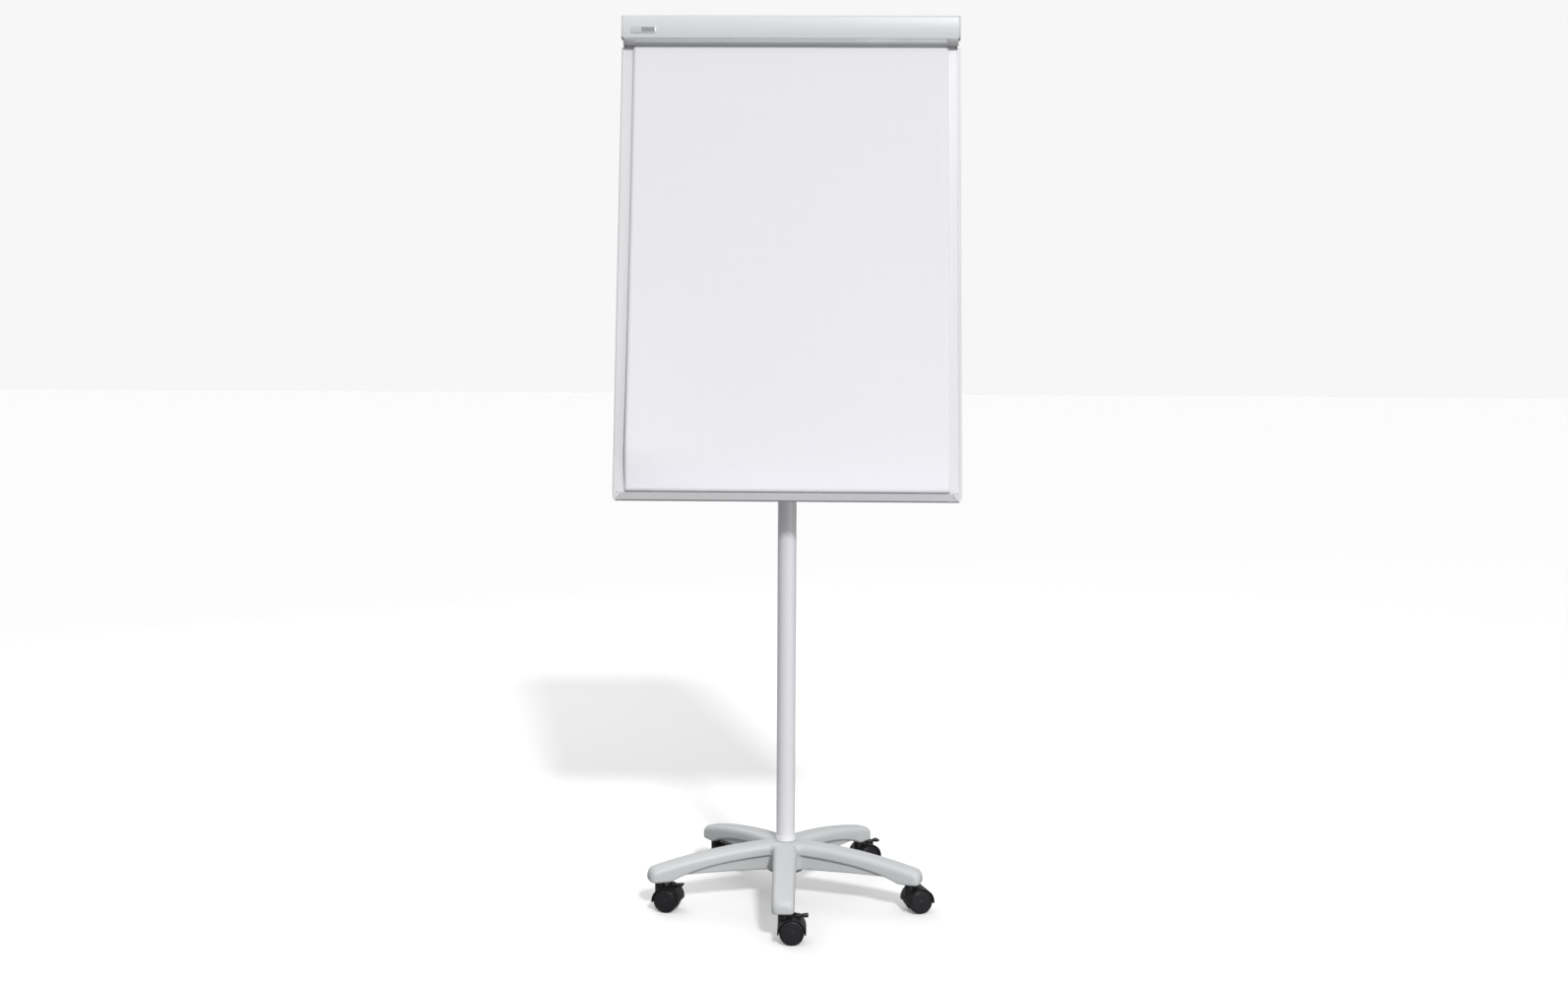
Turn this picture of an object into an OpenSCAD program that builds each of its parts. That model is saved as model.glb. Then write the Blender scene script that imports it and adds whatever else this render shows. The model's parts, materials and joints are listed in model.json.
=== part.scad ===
// Mobile flipchart easel: a tilted steel-faced board with a pad clamp and pen tray,
// on a telescopic column and a five-arm base with twin-wheel castors.
// The column's axis is the Z axis, the floor is Z = 0 and the board faces -Y.

/* [Base] */
// Distance from the column's axis to an arm's end
arm_reach = 291; // [260:1:360]
// Distance from an arm's end to its castor's stem
stem_inset = 24; // [20:1:32]
// Width of an arm at the hub
arm_root_w = 50; // [44:1:60]
// Width of an arm at its end
arm_tip_w = 43.5; // [38:0.5:50]
// Height of the hub's top above the floor
hub_top = 124; // [112:1:150]
// Depth of an arm's shell
shell_depth = 23; // [18:1:28]
// Width of the keel under an arm
keel_w = 36; // [20:1:40]

/* [Castors] */
// Diameter of a wheel
wheel_d = 48; // [40:1:52]
// Width of one wheel
wheel_w = 18; // [14:1:22]
// Distance from the stem's axis back to the axle
castor_trail = 17; // [14:1:22]
// Diameter of a castor's stem
stem_d = 11; // [8:0.5:12]
// Thickness of the web between two wheels
web_w = 11; // [9:1:14]
// Diameter of an axle
axle_d = 6; // [5:0.5:8]

/* [Column] */
// Outer diameter of the column
column_d = 38; // [34:1:46]
// Wall of the column
column_wall = 1.5; // [1.2:0.1:2]
// Height of the column's top above the floor
column_top = 905; // [700:1:1100]
// Wall of the bent mast that slides in the column
mast_wall = 1.5; // [1.2:0.1:2]
// Wall of the plastic bush between the column and the mast
bush_wall = 1.4; // [1.2:0.1:3]
// Length of the mast inside the column at the lowest setting
mast_insert = 430; // [300:1:520]
// Height of the mast's knee above the column's top
knee_rise = 36; // [30:1:60]

/* [Board] */
// Width of the board over its side rails
board_w = 700; // [600:1:900]
// Length of the board from its foot to the top of the clamp bar
board_len = 1009; // [900:1:1300]
// Angle that the board leans back by
tilt = 12.5; // [8:0.5:15]
// Height of the column's top above the board's foot
board_drop = 69; // [50:1:120]
// Thickness of the side rails
rail_t = 16; // [14:1:24]
// Thickness of a rail's lips, in front of and behind the panel
lip_t = 1.5; // [1:0.1:2.5]
// Width of a rail's lip
lip_w = 5; // [4:0.5:8]
// Thickness of the steel writing face
face_t = 0.8; // [0.6:0.1:1.2]
// Thickness of the back sheet
back_t = 0.6; // [0.4:0.1:1]
// Gap between the mast and the back of the board
saddle_gap = 15; // [10:1:25]

/* [Pad] */
// Width of the paper pad
pad_w = 650; // [550:1:680]
// Length of the paper pad
pad_len = 980; // [800:1:980]
// Thickness of the pad's backing board
backing_t = 0.9; // [0.5:0.1:1.5]
// Thickness of the block of sheets
block_t = 3.6; // [1:0.1:6]
// Thickness of the loose top sheet's solid
sheet_t = 0.3; // [0.2:0.1:0.5]
// Distance between the two pad hooks
hook_pitch = 475; // [400:1:520]
// Travel of a hook each way along its slot in the pad
hook_travel = 10; // [5:1:15]

/* [Clamp bar] */
// Length of the clamp bar's face along the board
clamp_h = 51; // [44:1:60]
// Length of the jaw strip below the face
jaw_h = 12; // [10:1:20]
// Distance that the clamp bar stands in front of the board
clamp_out = 16; // [15:1:30]
// Wall of the clamp bar
clamp_wall = 2; // [1.6:0.1:3]
// Diameter of the clamp bar's hinge pins
hinge_d = 6; // [5:0.5:8]

/* [Pen tray] */
// Depth of the tray, from the board to its front
tray_depth = 44; // [35:1:70]
// Height of the tray's front apron
apron_h = 13; // [10:1:18]
// Height of the tray's floor above the board's foot
tray_rise = 16; // [14:1:20]

/* [Hidden] */
$fn = 64;
eps = 0.01;
run_gap = 0.05;                // radial running clearance of shafts and pins
fit_gap = 0.2;                 // clearance between pieces that are fixed together
castor_names = ["front", "right_front", "right_rear", "left_rear", "left_front"];
castor_arm = [-90, -18, 54, 126, -162];      // direction of each castor's arm
castor_turn = [0, 18, 27, -6, -12];          // direction that each castor trails in
castor_braked = [true, false, true, false, true];
castor_parts = ["stem", "hood", "axle", "near_wheel", "far_wheel"];

base_grey = [0.77, 0.79, 0.78];
tube_grey = [0.80, 0.80, 0.82];
rail_white = [0.87, 0.87, 0.88];
bar_grey = [0.82, 0.84, 0.85];
jaw_grey = [0.63, 0.64, 0.66];
black = [0.17, 0.17, 0.19];
steel = [0.70, 0.71, 0.73];

// Base: heights along an arm
wheel_r = wheel_d / 2;
hood_gap = 1.2;                // between a wheel's tread and its hood
hood_wall = 2.8;
hood_r = wheel_r + hood_gap + hood_wall;
neck_top = wheel_r + hood_r + 4;             // top of a castor's neck
boss_h = 3.5;                  // round boss under an arm's end
arm_bottom = neck_top + 0.5 + boss_h;        // underside of an arm's end
stem_r = arm_reach - stem_inset;             // radius of the circle of stems
arm_nose = 13;                 // radius of the end's rounded top edge
keel_bottom = 65;              // underside of the hub
hub_r = arm_root_w / 2 / sin(36) + 2;        // covers where neighbouring arms meet
hub_step = 1.5;                // the hub's top above the arms' crown
arm_start = 20;                // arms start inside the hub
stem_len = 24;                 // length of stem inside an arm
stem_cover = 11;               // what an arm's top keeps over a castor's stem
stem_top = arm_bottom - boss_h + stem_len;
arm_drop = hub_top - hub_step - stem_top - stem_cover;
crown_r = stem_r * stem_r / (2 * arm_drop);  // radius of an arm's long curved top
hub_bore = 78;                 // floor of the hub's socket for the column
plate_t = 4;
bolt_d = 8;
bolt_clear = 0.3;

// Column
column_r = column_d / 2;
bore_r = column_r - column_wall;
bush_flange = 4;
mast_r = bore_r - bush_wall - 2 * run_gap;
collar_wall = 5;
collar_h = 37;
collar_lower = 1;              // distance from the column's top down to the collar
knob_z = column_top - collar_lower - collar_h / 2;
screw_r = 4;
knob_r = 21;
knob_len = 18;
knob_stand = 16;               // from the column's surface to the knob's head

// Board, in its own frame: X across, Z up the board, -Y out of its front
board_z = column_top - board_drop;
back_y = rail_t - lip_t;       // the back of the board, behind its front plane
mast_y = back_y + saddle_gap + mast_r;       // the mast's axis behind the front plane
knee_z = column_top + knee_rise;             // where the mast's two lengths meet
mast_end = 648;               // where the mast ends, up the board
board_y = -(mast_y + (knee_z - board_z) * sin(tilt)) / cos(tilt);
knee_up = -board_y * sin(tilt) + (knee_z - board_z) * cos(tilt);   // the knee, up the board
mast_rise = mast_end - knee_up;
knee_half = 20;                // half the height of the knee
knee_wall = 6;
saddle_low = 94;               // lower saddle, above the knee
saddle_z = [knee_up + saddle_low, mast_end - 60];
saddle_half = 20;
saddle_plate = 4;
saddle_w = 92;
screw_x = 34;

half_w = board_w / 2;
slot_w = lip_w - 1;            // how far the panel's edge goes under a lip
panel_half = half_w - slot_w;
panel_foot = 2;
clamp_low = board_len - clamp_h - jaw_h;     // lower edge of the jaw, up the board
rail_top = clamp_low - 3;
frame_top = board_len - 12;    // top of the fixed board, under the clamp bar
top_rail_h = 40;
ear_w = 5.5;                   // width of a hinge bracket
ear_x = half_w - 10;           // inner face of a hinge bracket
end_wall = 3;                  // thickness of the clamp bar's end pieces
pivot_y = 6;
pivot_z = frame_top - 6;

// Pad
pad_over = 1;                  // the pad's head above the top rail
pad_foot = frame_top + pad_over - pad_len;
pad_back = lip_t;
block_back = pad_back - backing_t;
sheet_back = block_back - block_t;
sheet_front = sheet_back - sheet_t;
hook_z = frame_top - 20;
slot_h = 4;                    // height of the hooks' slot in the top rail
hook_d = 6;
pad_slot_h = hook_d + 2;
pad_slot_w = hook_d + 2 * hook_travel + 2;

// Tray, level with the floor
tray_top = board_z + tray_rise;
tray_front = board_y - tray_depth;
tray_t = 2;
rim_h = 2.5;
apron_top_half = half_w - 22;
apron_low_half = half_w - 12.5;
cheek_half = half_w - lip_w - 2;

// Points of an arc about c, from angle a to angle b
function arc(c, r, a, b, n = 10) =
    [for (i = [0:n]) c + r * [cos(a + (b - a) * i / n), sin(a + (b - a) * i / n)]];

// Height of an arm's crown at a distance from the axis
function crown(r) = hub_top - hub_step - r * r / (2 * crown_r);

module on_board() {
    translate([0, board_y, board_z]) rotate([-tilt, 0, 0]) children();
}

// A flat box from one corner to the opposite one
module block(a, b) {
    translate(a) cube(b - a);
}

// A profile drawn in (y, z), extruded across X from x0 to x1
module across(x0, x1) {
    translate([x0, 0, 0]) rotate([90, 0, 90]) linear_extrude(x1 - x0) children();
}

// ---- Base ----

module arm_shell() {
    steps = 8;
    nose_x = arm_reach - arm_nose;
    nose_z = crown(nose_x) - arm_nose;
    foot = stem_r - 16;
    drop = crown(foot) - shell_depth - arm_bottom;
    stretch = nose_x - arm_start;
    top = [for (i = [0:steps]) let (r = arm_start + stretch * i / steps) [r, crown(r)]];
    under = [for (i = [steps:-1:0]) let (s = i / steps, r = arm_start + (foot - arm_start) * s)
        [r, crown(r) - shell_depth - drop * pow(s, 6)]];
    intersection() {
        rotate([90, 0, 0]) linear_extrude(arm_root_w + 2, center = true) polygon(concat(
            top, arc([nose_x, nose_z], arm_nose, 75, 0, 5), [[arm_reach, arm_bottom]], under));
        linear_extrude(hub_top + 1) polygon(concat(
            [[0, -arm_root_w / 2]],
            arc([arm_reach - 12, 12 - arm_tip_w / 2], 12, -90, 0, 5),
            arc([arm_reach - 12, arm_tip_w / 2 - 12], 12, 0, 90, 5),
            [[0, arm_root_w / 2]]));
    }
}

module arm_keel() {
    steps = 6;
    reach = stem_r - 26;
    low = [for (i = [steps:-1:0]) let (s = i / steps)
        [arm_start + (reach - arm_start) * s, keel_bottom + 1 + 5 * (1 - pow(1 - s, 2))]];
    rotate([90, 0, 0]) linear_extrude(keel_w, center = true) polygon(concat(
        [[arm_start, crown(arm_start) - shell_depth / 2], [reach, crown(reach) - shell_depth + 4]], low));
}

module star_base() {
    color(base_grey) difference() {
        union() {
            for (a = castor_arm) rotate([0, 0, a]) {
                arm_shell();
                arm_keel();
                translate([stem_r, 0, arm_bottom - boss_h])
                    cylinder(r = stem_d / 2 + 7.5, h = boss_h + 6);
            }
            translate([0, 0, keel_bottom]) cylinder(r = hub_r, h = hub_top - keel_bottom);
        }
        for (a = castor_arm) rotate([0, 0, a]) translate([stem_r, 0, arm_bottom - boss_h - 1])
            cylinder(r = stem_d / 2 + run_gap, h = stem_len + 2);
        translate([0, 0, hub_bore]) cylinder(r = column_r + run_gap, h = hub_top);
        translate([0, 0, keel_bottom - 1]) cylinder(r = (bolt_d + bolt_clear) / 2, h = hub_bore);
    }
}

module base_plate() {
    color(steel) translate([0, 0, keel_bottom - plate_t]) difference() {
        cylinder(r = hub_r - 8, h = plate_t);
        translate([0, 0, -1]) cylinder(r = (bolt_d + bolt_clear) / 2, h = plate_t + 2);
    }
}

module column_bolt() {
    head_h = 5;
    color(steel) translate([0, 0, keel_bottom - plate_t]) {
        translate([0, 0, -head_h]) cylinder(d = 13, h = head_h, $fn = 6);
        translate([0, 0, -eps]) cylinder(d = bolt_d, h = hub_bore - keel_bottom + plate_t + 30);
    }
}

module foot_collar() {
    h = 10;
    wall = 2;
    edge = 1;
    color(tube_grey) translate([0, 0, hub_top + fit_gap]) rotate_extrude() polygon([
        [column_r + run_gap, 0], [column_r + wall + 1, 0], [column_r + wall, 2],
        [column_r + wall, h - edge], [column_r + wall - edge, h], [column_r + run_gap, h]]);
}

module foot_insert() {
    h = 42;
    color(black) translate([0, 0, hub_bore + eps]) difference() {
        cylinder(r = bore_r - run_gap, h = h);
        translate([0, 0, -1]) cylinder(d = bolt_d + 2 * run_gap, h = h + 2);
    }
}

// ---- Column and mast ----

module column_tube() {
    color(tube_grey) difference() {
        translate([0, 0, hub_bore + eps]) cylinder(r = column_r, h = column_top - hub_bore);
        cylinder(r = bore_r, h = column_top + 1);
        translate([0, 0, knob_z]) rotate([-90, 0, 0]) cylinder(r = screw_r + 0.6, h = column_d);
    }
}

module guide_bush() {
    h = 60;
    color(black) translate([0, 0, column_top]) difference() {
        union() {
            translate([0, 0, -h]) cylinder(r = bore_r - run_gap, h = h + 1);
            translate([0, 0, eps]) cylinder(r = column_r, h = bush_flange);
        }
        translate([0, 0, -h - 1]) cylinder(r = mast_r + run_gap, h = h + bush_flange + 2);
        translate([0, 0, knob_z - column_top]) rotate([-90, 0, 0])
            cylinder(r = screw_r + 0.6, h = column_d);
    }
}

module clamp_collar() {
    color(black) translate([0, 0, knob_z]) difference() {
        union() {
            translate([0, 0, -collar_h / 2]) cylinder(r = column_r + collar_wall, h = collar_h);
            rotate([-90, 0, 0]) cylinder(r = 11, h = column_r + 12);
        }
        translate([0, 0, -collar_h]) cylinder(r = column_r + run_gap, h = 2 * collar_h);
        rotate([-90, 0, 0]) cylinder(r = screw_r + run_gap, h = column_r + 20);
    }
}

module clamp_knob() {
    lobes = 6;
    color(black) translate([0, 0, knob_z]) rotate([-90, 0, 0]) {
        translate([0, 0, mast_r + 0.3]) cylinder(r = screw_r, h = column_r + knob_stand - mast_r);
        translate([0, 0, column_r + knob_stand]) difference() {
            union() {
                cylinder(r = knob_r - 4, h = knob_len);
                translate([0, 0, -3]) cylinder(r = 9, h = 4);
                for (i = [0:lobes - 1]) rotate([0, 0, 360 / lobes * i])
                    translate([knob_r - 6, 0, 2]) cylinder(r = 6, h = knob_len - 4);
            }
            translate([0, 0, knob_len - 2]) cylinder(r = 8, h = 3);
        }
    }
}

module ring(outer, inner, h) {
    difference() {
        cylinder(r = outer, h = h);
        translate([0, 0, -1]) cylinder(r = inner, h = h + 2);
    }
}

// The mast: up the column, then leaning back behind the board from a solid knee
module mast_tube() {
    low = column_top - mast_insert;
    inner = mast_r - mast_wall;
    color(tube_grey) {
        translate([0, 0, low]) ring(mast_r, inner, knee_z - 8 - low);
        translate([0, 0, knee_z]) rotate([-tilt, 0, 0]) translate([0, 0, 8])
            ring(mast_r, inner, mast_rise - 8);
        translate([0, 0, knee_z - knee_half]) cylinder(r = mast_r + knee_wall, h = 2 * knee_half);
    }
}

module mast_glide() {
    h = 45;
    color(black) translate([0, 0, column_top - mast_insert]) difference() {
        translate([0, 0, -4]) cylinder(r = bore_r - run_gap, h = h + 4);
        translate([0, 0, eps]) difference() {
            cylinder(r = mast_r + run_gap, h = h + 1);
            translate([0, 0, -1]) cylinder(r = mast_r - mast_wall - run_gap, h = 15);
        }
        translate([0, 0, -5]) cylinder(r = 6, h = h);
    }
}

module mast_cap() {
    color(black) on_board() translate([0, mast_y, mast_end]) {
        cylinder(r = mast_r, h = 3);
        translate([0, 0, -14]) cylinder(r = mast_r - mast_wall - run_gap, h = 15);
    }
}

module saddle_brackets() {
    ring = 5;
    color(tube_grey) on_board() for (z = saddle_z) difference() {
        union() {
            block([-saddle_w / 2, back_y, z - saddle_half],
                  [saddle_w / 2, back_y + saddle_plate, z + saddle_half]);
            block([-mast_r - ring, back_y, z - saddle_half], [mast_r + ring, mast_y, z + saddle_half]);
            translate([0, mast_y, z - saddle_half]) cylinder(r = mast_r + ring, h = 2 * saddle_half);
        }
        translate([0, mast_y, z - 2 * saddle_half]) cylinder(r = mast_r + run_gap, h = 4 * saddle_half);
        for (x = [-screw_x, screw_x], dz = [-10, 10]) translate([x, back_y - 1, z + dz])
            rotate([-90, 0, 0]) cylinder(r = 2.6, h = saddle_plate + 2);
    }
}

module saddle_screws() {
    color(steel) on_board() for (z = saddle_z, x = [-screw_x, screw_x], dz = [-10, 10])
        translate([x, back_y + saddle_plate, z + dz]) rotate([-90, 0, 0]) {
            cylinder(r1 = 5, r2 = 3.6, h = 3);
            translate([0, 0, -saddle_plate - 8]) cylinder(r = 2.5, h = saddle_plate + 8 + eps);
        }
}

// ---- Board ----

// The panel's outline: full width between the side rails, narrower between the hinge brackets
module panel(front, back) {
    on_board() difference() {
        block([-panel_half, front, panel_foot], [panel_half, back, frame_top - top_rail_h]);
        for (s = [-1, 1]) translate([s * (ear_x + 20 - fit_gap), 0, rail_top + 20 + fit_gap])
            cube([40, 4 * rail_t, 40], center = true);
        for (z = saddle_z, x = [-screw_x, screw_x], dz = [-10, 10]) translate([x, back_y + 1, z + dz])
            rotate([90, 0, 0]) cylinder(r = 2.6, h = 10);
    }
}

module steel_face() {
    color(rail_white) panel(lip_t, lip_t + face_t);
}

module board_core() {
    color("tan") panel(lip_t + face_t, back_y - back_t);
}

module back_sheet() {
    color(bar_grey) panel(back_y - back_t, back_y);
}

module rail_profile() {
    edge = 3;
    difference() {
        polygon(concat(
            [[half_w - lip_w, 0]],
            arc([half_w - edge, edge], edge, -90, 0, 6),
            arc([half_w - edge, rail_t - edge], edge, 0, 90, 6),
            [[half_w - lip_w, rail_t]]));
        translate([half_w - lip_w - 1, lip_t]) square([lip_w + 1 - slot_w + 3, back_y - lip_t]);
    }
}

module side_rail() {
    corner = 10;
    color(rail_white) on_board() difference() {
        linear_extrude(rail_top) rail_profile();
        translate([half_w - corner, -1, corner]) rotate([-90, 0, 0]) difference() {
            cube([corner + 1, corner + 1, rail_t + 2]);
            translate([0, 0, -1]) cylinder(r = corner, h = rail_t + 4);
        }
    }
}

module right_rail() {
    side_rail();
}

module left_rail() {
    mirror([1, 0, 0]) side_rail();
}

module top_rail() {
    neck = 3;
    groove_h = 12;
    color(rail_white) on_board() difference() {
        block([-ear_x, lip_t, frame_top - top_rail_h], [ear_x, rail_t, frame_top]);
        block([-ear_x - 1, 0, hook_z - slot_h / 2], [ear_x + 1, lip_t + neck + 1, hook_z + slot_h / 2]);
        block([-ear_x - 1, lip_t + neck, hook_z - groove_h / 2],
              [ear_x + 1, lip_t + neck + 4, hook_z + groove_h / 2]);
    }
}

module pen_tray() {
    inner = half_w - lip_w - fit_gap;
    color(rail_white) {
        on_board() difference() {
            block([-inner, 0, 0], [inner, rail_t, 11]);
            block([-panel_half - 1, lip_t, panel_foot], [panel_half + 1, back_y, 12]);
        }
        on_board() block([-cheek_half + 3, -tray_t, 0], [cheek_half - 3, 0, tray_rise]);
        across(-apron_top_half, apron_top_half) polygon([
            [board_y + 3, tray_top], [board_y + 3, tray_top - tray_t],
            [tray_front - tray_t / 2, tray_top - tray_t], [tray_front - tray_t / 2, tray_top]]);
        translate([0, tray_front, 0]) rotate([90, 0, 0]) linear_extrude(tray_t) polygon([
            [-apron_top_half, tray_top + rim_h], [apron_top_half, tray_top + rim_h],
            [apron_low_half, tray_top + rim_h - apron_h], [-apron_low_half, tray_top + rim_h - apron_h]]);
    }
}

module tray_cheeks() {
    low = tray_top + rim_h - apron_h;
    high = tray_top + rim_h;
    color(rail_white) for (s = [0, 1]) mirror([s, 0, 0]) difference() {
        across(apron_top_half + fit_gap, cheek_half) polygon([
            [board_y - 3, high + 1], [board_y - 3, board_z + 1],
            [tray_front - tray_t, low], [tray_front - tray_t, high]]);
        translate([0, tray_front + eps, 0]) rotate([90, 0, 0]) linear_extrude(tray_t + 1) polygon([
            [0, high + 3], [apron_top_half + fit_gap - 2, high + 3],
            [apron_low_half + fit_gap + 1, low - 1], [0, low - 1]]);
        across(0, cheek_half - 3) polygon([
            [board_y - 2, high + 3], [board_y - 2, board_z],
            [tray_front + tray_t, low - 3], [tray_front + tray_t, high + 3]]);
    }
}

// ---- Clamp bar ----

module hinge_brackets() {
    color(steel) on_board() for (s = [-1, 1]) difference() {
        translate([s * (ear_x + fit_gap + ear_w / 2), 0, 0])
            block([-ear_w / 2, lip_t, rail_top + 2], [ear_w / 2, rail_t, frame_top]);
        translate([s * ear_x, pivot_y, pivot_z]) rotate([0, 90, 0])
            cylinder(d = hinge_d + 2 * run_gap, h = 30, center = true);
    }
}

module hinge_pins() {
    len = ear_w + end_wall;
    color(steel) on_board() for (s = [-1, 1])
        translate([s * (half_w - len / 2 - 0.3), pivot_y, pivot_z]) rotate([0, 90, 0])
            cylinder(d = hinge_d, h = len, center = true);
}

// The clamp bar's section: a face, a rounded top and a short back flange
module bar_profile() {
    edge = 7;
    polygon(concat(
        [[-clamp_out, board_len - clamp_h]],
        arc([edge - clamp_out, board_len - edge], edge, 180, 90, 6),
        arc([rail_t - 3, board_len - 3], 3, 90, 0, 3),
        [[rail_t, pivot_z + 8], [0, board_len - clamp_h]]));
}

module clamp_bar() {
    inner = half_w - end_wall - fit_gap;
    color(bar_grey) on_board() difference() {
        across(-inner, inner) bar_profile();
        across(-half_w, half_w) polygon(concat(
            [[-clamp_out + clamp_wall, board_len - clamp_h - 1]],
            arc([5 + clamp_wall - clamp_out, board_len - clamp_wall - 5], 5, 180, 90, 4),
            [[rail_t + 1, board_len - clamp_wall], [rail_t + 1, board_len - clamp_h - 1]]));
    }
}

module clamp_jaw() {
    tip = sheet_front - 0.3;
    low = clamp_low;
    high = board_len - clamp_h - fit_gap;
    inner = half_w - end_wall - 1.5;
    color(jaw_grey) on_board() across(-inner, inner) polygon([
        [-clamp_out + 1, high], [-clamp_out + 1, low + 5], [-clamp_out + 6, low], [tip - 2, low],
        [tip, low + 2], [tip, low + 6], [tip - 3, low + 8],
        [-clamp_out + 8, low + 8], [-clamp_out + 4, high + 4], [-clamp_out + clamp_wall + 0.05, high + 4],
        [-clamp_out + clamp_wall + 0.05, high]]);
}

module clamp_ends() {
    low = board_len - clamp_h;
    color(bar_grey) on_board() for (s = [0, 1]) mirror([s, 0, 0]) difference() {
        union() {
            across(half_w - end_wall, half_w) bar_profile();
            across(half_w - end_wall - 0.9, half_w - end_wall + 0.5) polygon([
                [-clamp_out + 2, low - jaw_h + 6], [-clamp_out + 2, low + 12],
                [sheet_front - 2, low + 12], [sheet_front - 1, low - jaw_h + 3],
                [-clamp_out + 6, low - jaw_h + 1]]);
        }
        translate([half_w, 0, low]) rotate([0, 45, 0]) cube([3.6, 4 * clamp_out, 3.6], center = true);
        translate([half_w, pivot_y, pivot_z]) rotate([0, 90, 0])
            cylinder(d = hinge_d + 0.02, h = 30, center = true);
    }
}

module hook(x) {
    groove_y = lip_t + 3;
    reach = clamp_out - 6;
    color(steel) on_board() translate([x, 0, hook_z]) {
        block([-8, groove_y + 0.2, -5.8], [8, groove_y + 3.8, 5.8]);
        block([-3, lip_t - 1, -slot_h / 2 + 0.2], [3, groove_y + 1, slot_h / 2 - 0.2]);
        rotate([90, 0, 0]) {
            translate([0, 0, -lip_t + 0.2]) cylinder(d = hook_d, h = reach);
            translate([0, 0, reach - lip_t - 1]) cylinder(r1 = hook_d / 2, r2 = hook_d / 2 + 1.5, h = 2);
        }
    }
}

module left_hook() {
    hook(-hook_pitch / 2);
}

module right_hook() {
    hook(hook_pitch / 2);
}

// ---- Pad ----

module pad_slab(front, back) {
    r = pad_slot_h / 2;
    on_board() difference() {
        block([-pad_w / 2, front, pad_foot], [pad_w / 2, back, pad_foot + pad_len]);
        for (x = [-hook_pitch / 2, hook_pitch / 2]) translate([x, 0, hook_z]) rotate([90, 0, 0]) {
            translate([0, 0, -20]) linear_extrude(40)
                square([pad_slot_w - 2 * r, pad_slot_h], center = true);
            for (s = [-1, 1]) translate([s * (pad_slot_w / 2 - r), 0, -20]) cylinder(r = r, h = 40);
        }
    }
}

module pad_backing() {
    color("burlywood") pad_slab(block_back, pad_back);
}

module paper_block() {
    color("white") pad_slab(sheet_back, block_back);
}

module top_sheet() {
    color("white") pad_slab(sheet_front, sheet_back);
}

// ---- Castors ----

module at_castor(i) {
    rotate([0, 0, castor_arm[i]]) translate([stem_r, 0, 0])
        rotate([0, 0, castor_turn[i] - castor_arm[i]]) children();
}

brake_x = castor_trail + 10;
brake_z = wheel_r + hood_r - 1;
brake_w = 10;

module castor_stem(i) {
    color(steel) at_castor(i) {
        translate([0, 0, neck_top - 8]) cylinder(d = stem_d, h = stem_len + 8);
        translate([0, 0, neck_top - 20]) cylinder(d = stem_d - 3, h = 13);
    }
}

module hood_disc(r, w) {
    translate([castor_trail, 0, wheel_r]) rotate([90, 0, 0]) cylinder(r = r, h = w, center = true);
}

module castor_hood(i) {
    whole_w = web_w + 2 * wheel_w + 1;
    color(black) at_castor(i) difference() {
        union() {
            difference() {
                hood_disc(hood_r, whole_w);
                hood_disc(wheel_r + hood_gap, whole_w + 2);
                translate([castor_trail - 60, -60, -99]) cube([120, 120, 99 + wheel_r - 3]);
            }
            intersection() {
                hood_disc(wheel_r + hood_gap + 0.2, web_w);
                translate([castor_trail - 60, -60, 8]) cube([120, 120, 100]);
            }
            difference() {
                translate([0, 0, wheel_r]) cylinder(r = stem_d / 2 + 4.5, h = neck_top - wheel_r);
                for (s = [-1, 1]) translate([0, s * (web_w / 2 + 30), 0])
                    hood_disc(wheel_r + hood_gap, 60);
            }
            if (castor_braked[i]) translate([brake_x - 8, -brake_w / 2 - 3.5, brake_z - 8])
                cube([14, brake_w + 7, 12]);
        }
        translate([0, 0, neck_top - 8]) cylinder(d = stem_d + 2 * run_gap, h = 20);
        translate([0, 0, neck_top - 20 - eps]) cylinder(d = stem_d - 3 + 2 * run_gap, h = 20);
        hood_disc((axle_d + 2 * run_gap) / 2, 99);
        for (s = [-1, 1]) translate([0, s * (web_w / 2 + 30), 0]) hood_disc(wheel_r + hood_gap, 60);
        if (castor_braked[i]) {
            translate([brake_x - 9, -brake_w / 2 - 0.3, brake_z - 5]) cube([40, brake_w + 0.6, 20]);
            translate([brake_x, 0, brake_z]) rotate([90, 0, 0])
                cylinder(r = 1.5 + run_gap, h = 60, center = true);
        }
    }
}

module castor_brake(i) {
    color(black) at_castor(i) translate([brake_x, 0, brake_z]) {
        rotate([90, 0, 0]) cylinder(r = 3.4, h = brake_w, center = true);
        rotate([90, 0, 0]) cylinder(r = 1.5, h = brake_w + 7, center = true);
        rotate([0, -8, 0]) translate([0, -brake_w / 2, -1]) cube([14, brake_w, 4]);
        translate([13, 0, 1]) rotate([0, -8, 0])
            translate([0, -brake_w / 2 - 3, -1]) cube([9, brake_w + 6, 4]);
    }
}

module castor_axle(i) {
    color(steel) at_castor(i) hood_disc(axle_d / 2, web_w + 2 * wheel_w - 4);
}

// One wheel, with a dished cover on its outer side
module castor_wheel(i, side) {
    gap = 0.4;
    edge = 2;
    color(black) at_castor(i) translate([castor_trail, side * (web_w / 2 + gap), wheel_r])
        rotate([-90 * side, 0, 0]) difference() {
            rotate_extrude() polygon([
                [0, 0], [wheel_r - edge, 0], [wheel_r, edge], [wheel_r, wheel_w - edge],
                [wheel_r - edge, wheel_w], [wheel_r - 5, wheel_w],
                [wheel_r - 6, wheel_w - 1.2], [0, wheel_w - 1.2]]);
            translate([0, 0, -1]) cylinder(r = axle_d / 2 + run_gap, h = wheel_w - 1);
        }
}

// ---- Each piece, by name ----

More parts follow.
